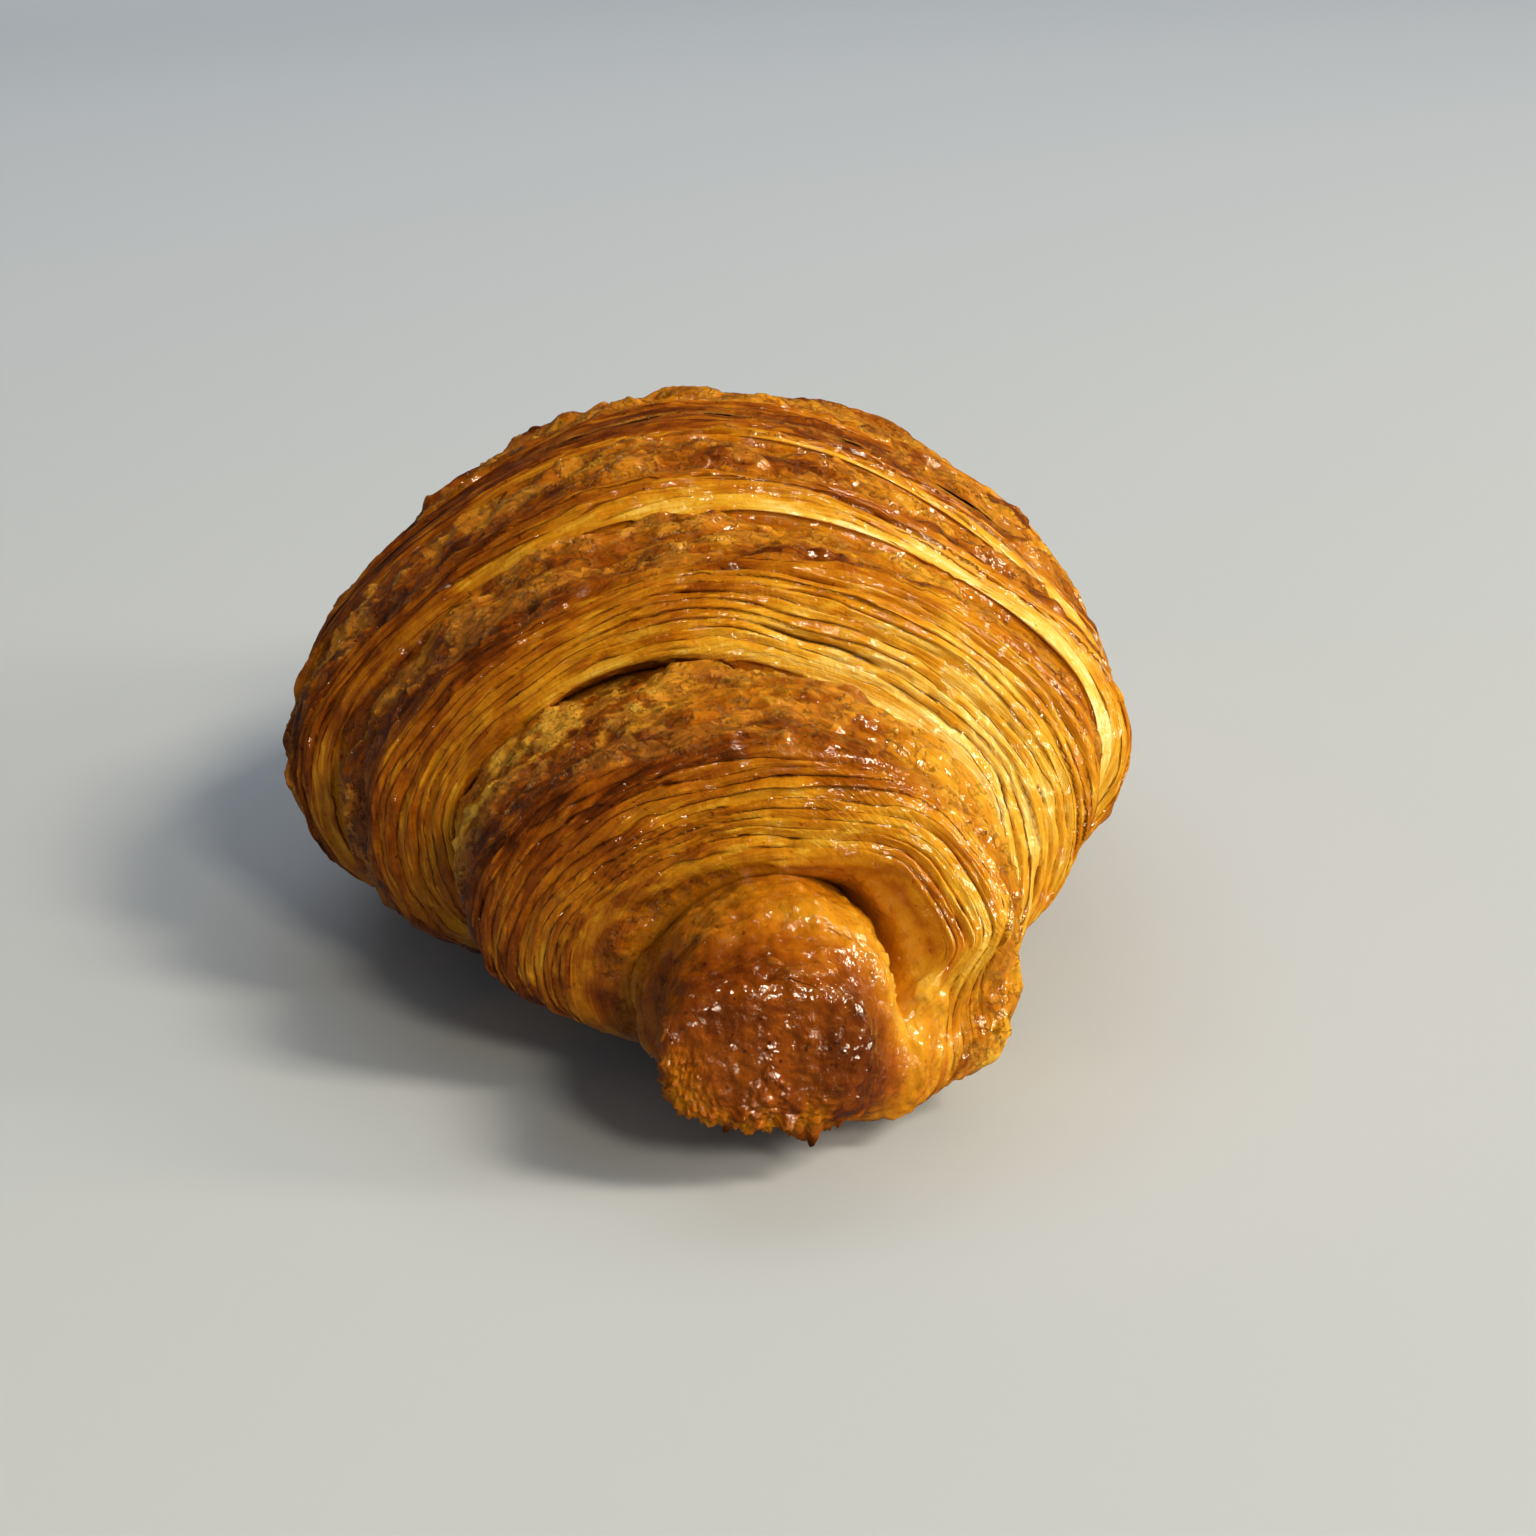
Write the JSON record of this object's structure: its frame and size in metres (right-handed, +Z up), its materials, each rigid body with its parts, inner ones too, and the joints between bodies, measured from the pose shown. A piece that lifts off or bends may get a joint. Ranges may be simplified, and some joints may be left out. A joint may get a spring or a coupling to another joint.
{
  "type": "croissant",
  "caption": "Butter croissant: a laminated dough roll in stepped tiers, tapering to a blunt point at both ends, slightly crescent-shaped, with a flat underside.",
  "frame": {"origin": "centre of the bounding box in plan, on the plane of the flat underside", "axes": "+X along the croissant from point to point, +Y towards the side both points bend to, +Z up from the flat underside"},
  "size_m": [0.16, 0.0892, 0.0536],
  "materials": {
    "baked_dough": "glazed golden brown crust, semi-gloss"
  },
  "bodies": {
    "root": {"croissant": "baked_dough"}
  },
  "joints": []
}
